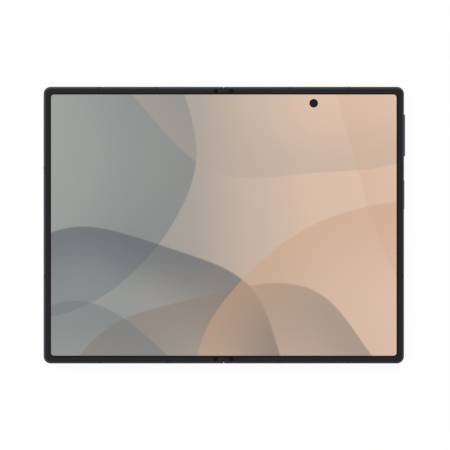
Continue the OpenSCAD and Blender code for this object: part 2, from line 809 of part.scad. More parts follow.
// Outline of a timing gear, with involute flanks
module gear_plan(phase) {
  polygon([for (i = [0:gear_teeth - 1]) let (a = i * 360 / gear_teeth + phase)
    each concat(
      [polar(gear_root, a - half_tooth(gear_base))],
      [for (rho = flank) polar(rho, a - half_tooth(rho))],
      [for (k = [4:-1:0]) polar(flank[k], a + half_tooth(flank[k]))],
      [polar(gear_root, a + half_tooth(gear_base))]
    )]);
}

module timing_gear(x, phase) {
  translate([x, gear_l / 2, shaft_z]) rotate([90, 0, 0]) linear_extrude(gear_l) gear_plan(phase);
}

// Shaft with its end gear cut on it
module pinions(side) {
  color("#b08d57") on_side(side) for (m = module_ys) translate([0, m, 0]) {
    timing_gear(shaft_x, side > 0 ? 180 / gear_teeth : 0);
    rod(shaft_x, shaft_z, shaft_r, slip - cheek_y - cheek_t, cheek_y + cheek_t - slip);
  }
}

module idlers(side) {
  color("#b08d57") on_side(side) for (m = module_ys) translate([0, m, 0]) difference() {
    timing_gear(gear_r, side > 0 ? 0 : 180 / gear_teeth);
    rod(gear_r, shaft_z, idler_pin_r + run_gap, -gear_l, gear_l);
  }
}

// Arm that turns with the shaft and slides in the rail, with a pin across its end
module arms(side) {
  color("#9a9ca1") on_side(side) for (m = module_ys) {
    y0 = m + (side > 0 ? arm_y : -arm_y - arm_w);
    difference() {
      union() {
        rod(shaft_x, shaft_z, knuckle_r, y0, y0 + arm_w);
        slab(shaft_x, arm_out, y0, y0 + arm_w, ear_z + run_gap, ear_z + run_gap + arm_t);
      }
      rod(shaft_x, shaft_z, shaft_r, y0 - 1, y0 + arm_w + 1);
    }
    rod(arm_out - 2 * arm_pin_r, ear_z + run_gap + arm_pin_r, arm_pin_r,
      y0 - arm_pin_l, y0 + arm_w + arm_pin_l);
  }
}

// Stack of spring washers that gives the fold its friction
module washers(side) {
  color("#c2c4c8") on_side(side) for (m = module_ys, i = [0:5]) {
    y0 = m + (side > 0 ? -arm_y - washer_pitch * i - washer_t : arm_y + washer_pitch * i);
    difference() {
      rod(shaft_x, shaft_z, washer_r, y0, y0 + washer_t);
      rod(shaft_x, shaft_z, shaft_r, y0 - 1, y0 + 1);
    }
  }
}

// Thin plate beside the fold that drops away as the phone shuts
module wing_plate(side) {
  x_pin = wing_out - wing_pin_r;
  y_pin = wing_half + wing_pin_l;
  color("#8b8d90") on_side(side) {
    slab(wing_in, x_pin, -wing_half, wing_half, wing_z, wing_z + wing_t);
    rod(x_pin, wing_z + wing_pin_r, wing_pin_r, -y_pin, y_pin);
  }
}

// Flat cable that crosses under the fold, with slack in the spine
module hinge_flexes() {
  z_out = ear_z + film;
  z_in = spine_floor + 0.4;
  x_bend = axis_in + 2;
  x_flat = axis_in + 0.3;
  color("#8a5a2b") for (y = flex_ys) run_y(y - flex_w / 2, y + flex_w / 2) {
    for (s = [0, 1]) mirror([s, 0]) {
      translate([x_bend - film, z_out]) square([rail_x + 0.5 + film - x_bend, flex_t]);
      polygon([[x_bend, z_out], [x_bend, z_out + flex_t], [x_flat, z_in + flex_t], [x_flat, z_in]]);
    }
    translate([-x_flat - film, z_in]) square([2 * (x_flat + film), flex_t]);
  }
}

module back_glass_plan() {
  half_plan(glass_in + film, glass_in + film, strip_x + film, corner_r - glass_in - film);
}

module rear_glass() {
  color("#34373d") difference() {
    linear_extrude(glass_t) back_glass_plan();
    translate([island_x, island_y, -1]) rotate([0, 0, 90])
      linear_extrude(3) stadium(lens_pitch + island_w - 2 * island_lip, island_w - 2 * island_lip);
    translate([flash_pos[0], flash_pos[1], -1]) cylinder(r = flash_r + film, h = 3);
  }
}

// Raised pill-shaped plate that carries the two lens rings
module camera_island() {
  soft = 0.4;
  sunk_w = island_w - 2 * (island_lip + slip);
  color("#3b3e46") difference() {
    union() {
      translate([island_x, island_y, -island_h + soft]) rotate([0, 0, 90])
        linear_extrude(island_h - soft - 0.02) stadium(lens_pitch + island_w, island_w);
      translate([island_x, island_y, -island_h]) rotate([0, 0, 90])
        linear_extrude(island_h - 0.02) stadium(lens_pitch + island_w - 2 * soft, island_w - 2 * soft);
      island_edge(soft);
      translate([island_x, island_y, -slip]) rotate([0, 0, 90])
        linear_extrude(glass_t + slip) stadium(lens_pitch + sunk_w, sunk_w);
    }
    for (y = lens_ys) translate([island_x, y, -3]) cylinder(r = ring_neck_r + slip, h = 6);
  }
}

// Round edge of the island: half-turns at the two ends and bars between them
module island_edge(soft) {
  r = island_w / 2 - soft;
  for (s = [-1, 1]) {
    translate([island_x, island_y + s * lens_pitch / 2, soft - island_h]) rotate([0, 0, s > 0 ? 0 : 180])
      rotate_extrude(angle = 180) translate([r, 0]) circle(soft);
    rod(island_x + s * r, soft - island_h, soft, lens_ys[0], lens_ys[1]);
  }
}

module camera_rings() {
  color("#23262c") for (y = lens_ys) translate([island_x, y, 0]) rotate_extrude() difference() {
    union() {
      translate([0, -rest_z + ring_soft]) square([ring_r, ring_h - ring_soft - 0.02]);
      translate([0, -rest_z]) square([ring_r - ring_soft, ring_h - 0.02]);
      translate([ring_r - ring_soft, -rest_z + ring_soft]) circle(ring_soft);
      translate([0, -island_h - slip]) square([ring_neck_r, glass_t + island_h]);
    }
    translate([-1, -rest_z - 1]) square([1 + ring_neck_r + film, 1 + lens_seat]);
    translate([-1, -9]) square([1 + lens_in, 20]);
  }
}

module camera_lenses() {
  color("#0c0d12") for (y = lens_ys) translate([island_x, y, slip - rest_z]) {
    cylinder(r = ring_neck_r, h = lens_seat - slip);
    cylinder(r = lens_in - film, h = 0.5);
  }
}

module rear_cameras() {
  b = camera_half;
  z0 = 0.65 - rest_z;
  color("#2a2b2e") for (y = lens_ys) {
    translate([island_x, y, z0]) cylinder(r = barrel_r, h = bay_z + slip - z0);
    soft_block(island_x - b, island_x + b, y - b, y + b, bay_z, bay_top, 1);
  }
}

module flash_window() {
  color("#e8e2c8") translate([flash_pos[0], flash_pos[1], 0]) {
    cylinder(r = flash_r, h = glass_t);
    translate([0, 0, glass_t - slip]) cylinder(r = flash_r - 0.75, h = 0.75);
  }
}

// Camera behind the hole in the picture
module inner_camera() {
  color("#101114") translate([hole_pos[0], hole_pos[1], 0]) {
    translate([0, 0, mid_z - 0.3]) cylinder(r = hole_r - film, h = screen_z - 0.12 - mid_z + 0.3);
    translate([-inner_half, -inner_half, board_z + board_t + 0.15])
      cube([2 * inner_half, 2 * inner_half, mid_z - 0.35 - board_z - board_t]);
  }
}

// Board in the shape of a gallows, round two sides of the battery
module main_board() {
  x_neck = battery_r[1] + board_gap[1];
  y_top = battery_r[3] + board_gap[2];
  x_arm = island_x - camera_half - board_gap[0];
  y_neck = [for (d = neck_drop) battery_r[3] - d];
  over = board_z + board_t;
  color("#1f3b2d") difference() {
    union() {
      soft_block(rail_x + board_in, x_arm, y_top, wall_y - board_in, board_z, over, board_r);
      soft_block(x_neck, wall_x - board_out, battery_r[2], y_neck[1], board_z, over, board_r);
      soft_block(x_neck, x_arm, y_neck[0], y_top + neck_over, board_z, over, 0.8);
    }
    for (p = right_bosses) translate([p[0], p[1], 0]) cylinder(r = screw_r + slip, h = body_t);
    translate([flash_pos[0], flash_pos[1], 0]) cylinder(r = flash_r - 0.35, h = body_t);
  }
}

// Pressed steel cans over the chips
module board_shields() {
  y0 = battery_r[3] + can_rise;
  x_arm = island_x - camera_half - board_gap[0];
  x_left = rail_x + board_in + can_edge;
  x_side = [battery_r[1] + board_gap[1] + can_edge, wall_x - board_out - board_gap[1]];
  over = board_z + board_t;
  color("#a9abae") {
    soft_block(x_left, hole_pos[0] - inner_half - can_gap, y0, y0 + can_l[0], over, bay_top, can_r);
    soft_block(hole_pos[0] + inner_half + can_gap, x_arm - can_edge, y0 + can_edge, y0 + can_edge + can_l[1],
      over, bay_top, can_r);
    soft_block(x_left, flash_pos[0] - flash_r - can_edge, y0, y0 + can_l[2], bay_z, board_z, can_r);
    soft_block(x_side[0], x_side[1], battery_r[2] + can_edge, battery_r[3] - neck_drop[0],
      over, bay_top, can_r);
  }
}

// Pouch cell with its sealed top edge
module battery(b, z0) {
  soft_block(b[0], b[1], b[2], b[3], z0, bay_top, bay_r);
}

module right_battery() {
  color("#2c2e31") battery(battery_r, bay_z);
}

module left_battery() {
  color("#2c2e31") on_side(-1) battery(battery_l, cover_z + slip);
}

// Charging receptacle: stamped shell, closed back and the contact tongue
module usb_port() {
  y0 = 0.3 - half_h;
  color("#9fa1a5") translate([port_x, y0, port_z]) rotate([-90, 0, 0]) {
    difference() {
      linear_extrude(port_l) stadium(port_w + 2 * port_wall, port_h + 2 * port_wall);
      translate([0, 0, -1]) linear_extrude(port_l + 1 - port_wall) stadium(port_w, port_h);
    }
    translate([-tongue_w / 2, -tongue_t / 2, 0.9]) cube([tongue_w, tongue_t, port_l - 1]);
  }
}

module bottom_speaker() {
  color("#26282b") difference() {
    bay_block(low_speaker, 0, bay_z, bay_top);
    for (p = right_bosses) translate([p[0], p[1], 0]) cylinder(r = boss_r + 2 * slip, h = body_t);
    for (x = bottom_grille) rod(x, side_z, grille_r, -wall_y, 3 - wall_y);
  }
}

module top_speaker() {
  color("#26282b") on_side(-1) difference() {
    bay_block(high_speaker, 0, cover_z + slip, bay_top);
    for (x = top_grille) rod(x, side_z, grille_r, wall_y - 3, wall_y);
  }
}

module haptic_motor() {
  color("#b5b7ba") bay_block(haptic, 0, bay_z, bay_top);
}

module charging_coil() {
  color("#a5682e") translate([coil_pos[0], coil_pos[1], glass_t + 0.02]) difference() {
    cylinder(r = coil_r, h = coil_t);
    translate([0, 0, -1]) cylinder(r = coil_in, h = 3);
  }
}

// Switch strip behind the keys, with one dome per pressing point
module key_switches() {
  x1 = strip_wall + strip_t;
  color("#c9a227") {
    slab(strip_wall, x1, strip_y[0], strip_y[1], side_z - 1, side_z + 1);
    for (y = [side_y, volume_y - dome_y, volume_y + dome_y])
      translate([x1 - eps, y, side_z]) rotate([0, 90, 0]) cylinder(r1 = 0.95, r2 = 0.6, h = dome_h + eps);
  }
}

// Key with round ends: the cap through the rim, a flange that holds it in, and posts over the switches
module key(y, l, out, swing, posts) {
  r = key_soft;
  depth = rim_w + 2 * slip + swing;
  h = depth + out;
  post_end = strip_wall + strip_t + dome_h + press_gap;
  translate([half_w - depth, y, side_z]) {
    rotate([90, 0, 90]) {
      linear_extrude(h - r) stadium(l, key_w);
      linear_extrude(h) stadium(l - 2 * r, key_w - 2 * r);
      for (s = [-1, 1]) translate([s * (l - key_w) / 2, 0, h - r]) rotate([0, 0, s > 0 ? -90 : 90])
        rotate_extrude(angle = 180) translate([key_w / 2 - r, 0]) circle(r);
      for (s = [-1, 1]) translate([-(l - key_w) / 2, s * (key_w / 2 - r), h - r]) rotate([0, 90, 0])
        cylinder(r = r, h = l - key_w);
      translate([0, 0, -key_flange]) linear_extrude(key_flange + eps) stadium(l + 1, key_w);
    }
    for (p = posts) translate([0, p, 0]) rotate([0, -90, 0]) cylinder(r = 0.6, h = half_w - depth - post_end);
  }
}

module volume_key() {
  x_in = half_w - rim_w - 2 * slip - volume_swing;
  color("#45474f") {
    key(volume_y, volume_l, volume_out, volume_swing, [-dome_y, dome_y]);
    // Round nose in the middle, on which the key rocks
    translate([pivot_x, volume_y, side_z - 0.6]) cylinder(r = pivot_r, h = 1.2);
    slab(pivot_x, x_in, volume_y - pivot_r, volume_y + pivot_r, side_z - 0.6, side_z + 0.6);
  }
}

module side_key() {
  color("#45474f") key(side_y, side_l, side_out, side_swing, [0]);
}

module magnets(side) {
  color("#8f9094") on_side(side) for (y = magnet_ys)
    soft_block(magnet_x[0], magnet_x[1], y, y + magnet_l, mid_z - magnet_t, mid_z - film, 0.4);
}

module screws(side, bosses) {
  color("#b9bbbf") on_side(side) {
    for (p = bosses) translate([p[0], p[1], board_z]) {
      translate([0, 0, -screw_head_t]) cylinder(r = screw_head_r, h = screw_head_t);
      cylinder(r = screw_r - film, h = boss_z(p) - board_z + screw_bite);
    }
    for (p = ear_screws(side)) translate([p[0], p[1], boss_floor + bite])
      cylinder(r = screw_r - film, h = ear_z + ear_t - boss_floor - bite);
  }
}

module cover_glass() {
  color("#16171b") on_side(-1) linear_extrude(glass_t) back_glass_plan();
}

module cover_panel() {
  color("#0d0e11") on_side(-1) difference() {
    translate([0, 0, glass_t + 0.02]) linear_extrude(0.38)
      half_plan(rim_w + 0.8, rim_w + 0.8, rail_x + bay_gap, bay_r);
    translate([cover_hole[0], cover_hole[1], 0]) cylinder(r = cover_hole_r, h = 3);
  }
}

module cover_camera() {
  color("#101114") on_side(-1) translate([cover_hole[0], cover_hole[1], 0]) {
    translate([0, 0, glass_t + film]) cylinder(r = cover_hole_r - slip, h = 1);
    translate([-cover_half, -cover_half, cover_z + 0.15])
      cube([2 * cover_half, 2 * cover_half, bay_top - cover_z - 0.15]);
  }
}

module sub_board() {
  x1 = cover_hole[0] - cover_half - board_in;
  color("#1f3b2d") on_side(-1) difference() {
    soft_block(rail_x + board_in, x1, battery_l[3] + 1.5, wall_y - board_in, board_z, board_z + board_t, 1);
    for (p = left_bosses) translate([p[0], p[1], 0]) cylinder(r = screw_r + slip, h = body_t);
  }
}

// Cage that takes the card tray
module card_reader() {
  y0 = 0.3 - wall_y;
  y1 = tray_l + 1 - wall_y;
  outer = tray_w / 2 + slip;
  inner = outer - 0.4;
  half_t = tray_t / 2 + tray_gap;
  color("#a9abae") on_side(-1) difference() {
    slab(tray_x - outer, tray_x + outer, y0, y1, tray_z - 0.75, tray_z + 0.75);
    slab(tray_x - inner, tray_x + inner, y0 - 1, y1 - 0.3, tray_z - half_t, tray_z + half_t);
  }
}

// Sliding tray: a face that closes the rim, and the frame that holds the card
module card_tray() {
  y1 = tray_l - wall_y;
  half = tray_w / 2 - 0.6;
  card_y = y1 - 1.2;
  color("#3b3e46") on_side(-1) difference() {
    union() {
      translate([tray_x, -half_h, tray_z]) rotate([-90, 0, 0]) linear_extrude(rim_w) stadium(tray_w, tray_h);
      slab(tray_x - half, tray_x + half, -wall_y - bite, y1, tray_z - tray_t / 2, tray_z + tray_t / 2);
    }
    slab(tray_x - card_w / 2, tray_x + card_w / 2, card_y - card_l, card_y, 0, body_t);
    rod(tray_x + half - 1, tray_z, mic_r, -half_h - 1, card_y - card_l - 1);
  }
}

lift() right_frame();
lift() antenna_breaks(1);  // right_antenna_breaks
lift() bezel(1);  // right_bezel
lift() right_display_panel();
lift() display_plate(1);  // right_display_plate
lift() rotors(1);  // right_rotors
lift() rear_glass();
lift() camera_island();
lift() camera_rings();
lift() camera_lenses();
lift() rear_cameras();
lift() flash_window();
lift() inner_camera();
lift() main_board();
lift() board_shields();
lift() right_battery();
lift() usb_port();
lift() bottom_speaker();
lift() haptic_motor();
lift() charging_coil();
lift() key_switches();
lift() magnets(1);  // right_magnets
lift() screws(1, right_bosses);  // right_screws
lift() wing_plate(1);  // right_wing_plate
lift() volume_key();
lift() side_key();
lift() spine_cover();
lift() hinge_brackets();
lift() bracket_screws();
lift() fold_caps();
lift() fold_display();
lift() fold_lattice();
lift() hinge_flexes();
lift() idlers(-1);  // left_idlers
lift() idlers(1);  // right_idlers
lift() arms(-1);  // left_arms
lift() pinions(-1);  // left_pinions
lift() washers(-1);  // left_washers
lift() arms(1);  // right_arms
lift() pinions(1);  // right_pinions
lift() washers(1);  // right_washers
lift() left_frame();
lift() antenna_breaks(-1);  // left_antenna_breaks
lift() bezel(-1);  // left_bezel
lift() left_display_panel();
lift() display_plate(-1);  // left_display_plate
lift() rotors(-1);  // left_rotors
lift() cover_glass();
lift() cover_panel();
lift() cover_camera();
lift() left_battery();
lift() sub_board();
lift() top_speaker();
lift() card_reader();
lift() magnets(-1);  // left_magnets
lift() screws(-1, left_bosses);  // left_screws
lift() wing_plate(-1);  // left_wing_plate
lift() card_tray();
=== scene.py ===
import json
import math

import bmesh
import bpy
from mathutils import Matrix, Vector


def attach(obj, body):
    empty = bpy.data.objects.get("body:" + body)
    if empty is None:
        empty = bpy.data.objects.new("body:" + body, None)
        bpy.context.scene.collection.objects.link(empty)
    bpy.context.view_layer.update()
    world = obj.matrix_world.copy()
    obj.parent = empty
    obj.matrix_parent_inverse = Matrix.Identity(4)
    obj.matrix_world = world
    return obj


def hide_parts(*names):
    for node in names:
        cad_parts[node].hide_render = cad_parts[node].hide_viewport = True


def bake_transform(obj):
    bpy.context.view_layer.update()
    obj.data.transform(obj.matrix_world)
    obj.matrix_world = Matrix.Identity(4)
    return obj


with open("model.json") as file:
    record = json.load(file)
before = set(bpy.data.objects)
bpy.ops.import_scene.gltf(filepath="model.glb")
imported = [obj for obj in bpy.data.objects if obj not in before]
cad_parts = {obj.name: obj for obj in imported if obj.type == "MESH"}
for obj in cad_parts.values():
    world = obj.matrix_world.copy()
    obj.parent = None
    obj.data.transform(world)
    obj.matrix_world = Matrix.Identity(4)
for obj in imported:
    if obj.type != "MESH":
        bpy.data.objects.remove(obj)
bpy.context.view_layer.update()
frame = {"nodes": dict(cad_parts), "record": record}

# Frame of each half. The rim, display plate and hinge rail are milled from one block of aluminium,
# bead blasted and anodised dark slate. Its triangles are joined, so that the round edges shade smoothly.
MM = 0.001
FRAME_SLATE = "#393b42"
BLAST_GRAIN = 0.35        # mm between the dimples that the beads leave, drawn coarse enough to show
DIMPLE_DEPTH = 0.003      # mm
WELD = 0.0005             # mm, within which the corners of loose triangles are one
ROUND_BELOW = 28          # degrees between two faces, below which their edge shades as round
GRAIN_SPAN = (0.3, 0.7)   # most of a noise's values lie between these
GLOSS_SWING = 0.04        # by which the roughness rises and falls with the grain
cad = frame["nodes"]
body_of = {name: body for body, names in frame["record"]["behaviour"]["bodies"].items() for name in names}


def colour(hex_code):
    """Linear RGBA from an sRGB hex colour."""
    values = [int(hex_code[i:i + 2], 16) / 255 for i in (1, 3, 5)]
    return [v / 12.92 if v <= 0.04045 else ((v + 0.055) / 1.055) ** 2.4 for v in values] + [1.0]


def shade(hex_code, times):
    """The colour of hex_code, made darker or lighter by a factor."""
    return [min(1.0, v * times) for v in colour(hex_code)[:3]] + [1.0]


def add(tree, kind, sockets=None, stops=(), **settings):
    """
    Adds a shader node. A socket takes a value, or a link from a socket or from a node's first live output.
    Stops are a colour ramp's places and sRGB colours.
    """
    new = tree.nodes.new("ShaderNode" + kind)
    for name, value in settings.items():
        setattr(new, name, value)
    for i, (at, tone) in enumerate(stops):
        stop = new.color_ramp.elements[i] if i < 2 else new.color_ramp.elements.new(at)
        stop.position = at
        stop.color = colour(tone)
    for key, value in (sockets or {}).items():
        into = next(s for s in new.inputs if s.identifier == key)
        if isinstance(value, bpy.types.Node):
            value = next(s for s in value.outputs if s.enabled)
        if isinstance(value, bpy.types.NodeSocket):
            tree.links.new(value, into)
        else:
            into.default_value = value
    return new


def blank(name, surface="BsdfPrincipled", sockets=None):
    """A new material with one shader, and that shader."""
    material = bpy.data.materials.new(name)
    material.use_nodes = True
    tree = material.node_tree
    tree.nodes.clear()
    shader = add(tree, surface, sockets)
    add(tree, "OutputMaterial", {"Surface": shader})
    return material, tree, shader


def grained(name, base, rough, grain, depth, drift=0.05, patch=14.0, stretch=(1, 1, 1), **more):
    """
    A surface with a fine grain in its relief and gloss, and a slow drift in its colour. Sizes are in mm.
    Real grains of a few hundredths are drawn as tenths, so that they show. Where base is None, the colour is
    left to the caller.
    """
    sockets = {key.replace("_", " "): value for key, value in more.items()}
    material, tree, shader = blank(name, "BsdfPrincipled", sockets)
    place = add(tree, "Mapping", {"Vector": add(tree, "TexCoord").outputs["Object"], "Scale": stretch})
    fine = add(tree, "TexNoise", {"Vector": place, "Scale": 1 / (grain * MM), "Detail": 2.0})
    gloss = add(tree, "MapRange", {"Value": fine, "From Min": GRAIN_SPAN[0], "From Max": GRAIN_SPAN[1],
                                   "To Min": rough - GLOSS_SWING, "To Max": rough + GLOSS_SWING})
    relief = add(tree, "Bump", {"Height": fine, "Strength": 0.6, "Distance": depth * MM})
    tree.links.new(gloss.outputs["Result"], shader.inputs["Roughness"])
    tree.links.new(relief.outputs["Normal"], shader.inputs["Normal"])
    if base:
        slow = add(tree, "TexNoise", {"Vector": place, "Scale": 1 / (patch * MM), "Detail": 3.0})
        tint = add(tree, "Mix", {"Factor_Float": slow, "A_Color": shade(base, 1 - drift),
                                 "B_Color": shade(base, 1 + drift)}, data_type="RGBA")
        tree.links.new(tint.outputs["Result"], shader.inputs["Base Color"])
    return material


def copy_of(node):
    """An edit mesh of a CAD node, with its loose triangles joined."""
    bm = bmesh.new()
    bm.from_mesh(cad[node].data)
    bmesh.ops.remove_doubles(bm, verts=bm.verts, dist=WELD * MM)
    return bm


def piece(name, bm, material, body=None):
    """A new object from an edit mesh. It rides on a body, where one is given."""
    mesh = bpy.data.meshes.new(name)
    bm.to_mesh(mesh)
    bm.free()
    # The joined faces shade by themselves, without the normals that the loose triangles had
    if "custom_normal" in mesh.attributes:
        mesh.attributes.remove(mesh.attributes["custom_normal"])
    mesh.materials.clear()
    mesh.materials.append(material)
    made = bpy.data.objects.new(name, mesh)
    bpy.context.scene.collection.objects.link(made)
    if body:
        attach(made, body)
    return made


def smooth_by_angle(bm):
    """Smooth faces, with a crease at each edge that turns by more than the angle."""
    for face in bm.faces:
        face.smooth = True
    for edge in bm.edges:
        edge.smooth = len(edge.link_faces) == 2 and edge.calc_face_angle(0.0) < math.radians(ROUND_BELOW)


def smoothed(node, material):
    """Stands for a CAD node with a copy that shades smoothly."""
    bm = copy_of(node)
    smooth_by_angle(bm)
    made = piece(node + "_smooth", bm, material, body_of[node])
    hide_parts(node)
    return made


# Bead-blasted anodised aluminium: a soft metal sheen with a fine sparkle, bluish slate where it catches light
anodised = grained("anodised_aluminium", FRAME_SLATE, rough=0.38, grain=BLAST_GRAIN, depth=DIMPLE_DEPTH,
                   Metallic=1.0)
for side in ("left", "right"):
    smoothed(side + "_frame", anodised)

# Antenna breaks. Moulded resin fills narrow slots through the rim, and is machined flush with the metal.
# It is dull, a little darker than the metal, and has no metal sheen.
break_resin = grained("moulded_resin", "#0f1013", rough=0.55, grain=0.2, depth=0.003, Specular_IOR_Level=0.2)
for side in ("left", "right"):
    smoothed(side + "_antenna_breaks", break_resin)

# Bezels. A soft black frame is glued over the edge of the screen, and stands a little over it, so that
# the two halves meet on it when the phone is shut. Moulded elastomer: satin and nearly black. On the low
# ledges beside the fold it is matt, and its colour is painted blacker there as painted shade for the recess.
RECESS = 4.4    # mm from the fold line, inside which the ledges lie
bezel_black = grained("satin_elastomer", "#101010", rough=0.5, grain=0.15, depth=0.004,
                      Specular_IOR_Level=0.17)
# The ledges' blacker colour is painted shade, for the recess that they lie in
recess_painted_shade = grained("matt_recess_painted_shade", "#060606", rough=0.7, grain=0.15, depth=0.006, Specular_IOR_Level=0.1)


def repaint(made, material, chosen):
    """Gives a second material to the faces of a piece whose middle, in mm, is chosen."""
    made.data.materials.append(material)
    for face in made.data.polygons:
        if chosen(face.center / MM):
            face.material_index = len(made.data.materials) - 1


for side in ("left", "right"):
    bezel = smoothed(side + "_bezel", bezel_black)
    repaint(bezel, recess_painted_shade, lambda at: abs(at.x) < RECESS)

# Fold caps. They close the fold at its two ends, ride on the spine, and have a rounded crown.
# Moulded in the same black as the bezels, with a satin crown. Their colour is painted darker towards
# their ends as painted shade, down to the ledges' painted black.
CROWN = (1.3, 2.6)   # mm from the fold line, between which it fades
cap_painted_shade = grained("satin_cap_painted_shade", None, rough=0.45, grain=0.15, depth=0.003, Specular_IOR_Level=0.18)
tree = cap_painted_shade.node_tree
# Painted shade: the base colour falls from dark grey at the middle to black at the cap's ends
apart = add(tree, "SeparateXYZ", {"Vector": add(tree, "TexCoord").outputs["Object"]})
off = add(tree, "Math", {"Value": apart.outputs["X"]}, operation="ABSOLUTE")
shade_to_ends = add(tree, "MapRange", {"Value": off, "From Min": CROWN[0] * MM, "From Max": CROWN[1] * MM},
           interpolation_type="SMOOTHSTEP")
tone = add(tree, "Mix", {"Factor_Float": shade_to_ends, "A_Color": colour("#141415"), "B_Color": colour("#060606")},
           data_type="RGBA")
tree.links.new(tone.outputs["Result"], tree.nodes["Principled BSDF"].inputs["Base Color"])
smoothed("fold_caps", cap_painted_shade)

# Display. A lit panel lies on each half, and between them runs a strip that bends round the fold.
# The four pieces share one picture, under a clear film, and stay black along the bezel.
SCREEN = (77.3, 58.42)   # mm, half the picture's width and height
SCREEN_R = 1.3           # mm, radius of the picture's corners
SOFT_EDGE = 0.03         # mm, over which the picture ends
STRIP_CUT = 0.15         # mm between the cuts that let the strip bend
BEND_FROM = 2.6          # mm from the fold line, where the strip starts to bend
STRIP_EDGE = 9.0         # mm from the fold line, where the strip meets the panels
JOIN = 0.02              # mm, joint that is closed there, because the real display is one sheet
SIDES = (("left", -1), ("right", 1))
REFLECTED = 0.0105       # light that the film adds to the picture by reflection
WASH = [(0.0, "#a0a3a0"), (0.22, "#9c9e9b"), (0.42, "#b0a79e"), (0.55, "#c7b5a6"), (0.75, "#dcc0ac"),
        (1.0, "#e4c4af")]
DIM_BELOW = 0.9          # brightness at the picture's lower edge
SWAY = 60.0              # mm, whole swing of the noise that bends the dunes' round edges
SWAY_SCALE = 0.009       # bends for each mm
CREST = 0.3              # mm, half the width of a dune's edge
# Soft dunes: middle, radius, width of the shade inside the edge, its colour and its strength
DUNES = [
    ((-96, 34), 78, 46, "#7f8687", 0.7),
    ((30, 118), 96, 38, "#b3a69a", 0.4),
    ((-46, -92), 92, 30, "#5a626a", 0.65),
    ((2, -110), 84, 42, "#8e8278", 0.65),
    ((92, -86), 98, 54, "#caa487", 0.5),
    ((-58, -108), 74, 36, "#757b7f", 0.5),
    ((150, 44), 104, 40, "#cfab92", 0.3),
]


def screen_light():
    """The lit picture: a wash from cool grey to peach, with broad dunes, each dark along its crest."""
    material, tree, shader = blank("lit_display", "BsdfPrincipled", {
        "Base Color": colour("#050506"), "Roughness": 0.16, "Specular IOR Level": 0.12,
        "Emission Strength": 1.0})
    place = add(tree, "UVMap", uv_map="picture")
    sway = add(tree, "TexNoise", {"Vector": place, "Scale": SWAY_SCALE, "Detail": 0.0})
    centred = add(tree, "VectorMath", {"Vector": sway.outputs["Color"], "Vector_001": (0.5, 0.5, 0.5)},
                  operation="SUBTRACT")
    drift = add(tree, "VectorMath", {"Vector": centred, "Scale": SWAY}, operation="SCALE")
    swayed = add(tree, "VectorMath", {"Vector": place, "Vector_001": drift}, operation="ADD")
    across = add(tree, "SeparateXYZ", {"Vector": place})
    along = add(tree, "MapRange", {"Value": across.outputs["X"], "From Min": -SCREEN[0],
                                   "From Max": SCREEN[0]})
    wash = add(tree, "ValToRGB", {"Fac": along}, stops=WASH)
    down = add(tree, "MapRange", {"Value": across.outputs["Y"], "From Min": -SCREEN[1], "From Max": SCREEN[1],
                                  "To Min": DIM_BELOW, "To Max": 1.0})
    picture = add(tree, "VectorMath", {"Vector": wash.outputs["Color"], "Scale": down}, operation="SCALE")
    for middle, radius, width, tone, strength in DUNES:
        out = add(tree, "VectorMath", {"Vector": swayed, "Vector_001": (*middle, 0)}, operation="DISTANCE")
        out = out.outputs["Value"]
        inside = add(tree, "MapRange", {"Value": out, "From Min": radius - CREST, "From Max": radius + CREST,
                                        "To Min": strength, "To Max": 0.0})
        fade = add(tree, "MapRange", {"Value": out, "From Min": radius - width, "From Max": radius},
                   interpolation_type="SMOOTHSTEP")
        cover = add(tree, "Math", {"Value": inside, "Value_001": fade}, operation="MULTIPLY")
        picture = add(tree, "Mix", {"Factor_Float": cover, "A_Color": picture, "B_Color": colour(tone)},
                      data_type="RGBA")
    # The panel is unlit outside the picture, whose corners are round
    size = add(tree, "VectorMath", {"Vector": place}, operation="ABSOLUTE")
    straight = (SCREEN[0] - SCREEN_R, SCREEN[1] - SCREEN_R, 0)
    past = add(tree, "VectorMath", {"Vector": size, "Vector_001": straight}, operation="SUBTRACT")
    past = add(tree, "VectorMath", {"Vector": past}, operation="MAXIMUM")
    flat = add(tree, "VectorMath", {"Vector": past, "Vector_001": (1, 1, 0)}, operation="MULTIPLY")
    far = add(tree, "VectorMath", {"Vector": flat}, operation="LENGTH").outputs["Value"]
    on = add(tree, "MapRange", {"Value": far, "From Min": SCREEN_R, "From Max": SCREEN_R + SOFT_EDGE,
                                "To Min": 1.0, "To Max": 0.0})
    lit = add(tree, "VectorMath", {"Vector": picture, "Vector_001": (REFLECTED,) * 3}, operation="SUBTRACT")
    lit = add(tree, "VectorMath", {"Vector": lit, "Scale": on}, operation="SCALE")
    tree.links.new(lit.outputs["Vector"], shader.inputs["Emission Color"])
    return material


def print_places(bm):
    """Writes each corner's place on the screen, in mm, into the picture's own map."""
    places = bm.loops.layers.uv.new("picture")
    for face in bm.faces:
        for loop in face.loops:
            loop[places].uv = (loop.vert.co.x / MM, loop.vert.co.y / MM)


def cut_away(bm, place, outward):
    """Takes off what lies outside a plane, and closes the cut."""
    everything = bm.verts[:] + bm.edges[:] + bm.faces[:]
    cut = bmesh.ops.bisect_plane(bm, geom=everything, plane_co=place, plane_no=outward, clear_outer=True)
    rim = [e for e in cut["geom_cut"] if isinstance(e, bmesh.types.BMEdge)]
    bmesh.ops.holes_fill(bm, edges=rim, sides=0)


def half_of(node, sign):
    """An edit mesh of one side of a CAD node that crosses the fold."""
    bm = copy_of(node)
    cut_away(bm, (0, 0, 0), (-sign, 0, 0))
    return bm


def slice_between(bm, near, far, sign):
    """Cuts an edit mesh across X at even steps, so that it can bend there."""
    count = round((far - near) / STRIP_CUT)
    for i in range(count + 1):
        x = sign * (near + (far - near) * i / count) * MM
        everything = bm.verts[:] + bm.edges[:] + bm.faces[:]
        bmesh.ops.bisect_plane(bm, geom=everything, plane_co=(x, 0, 0), plane_no=(1, 0, 0))


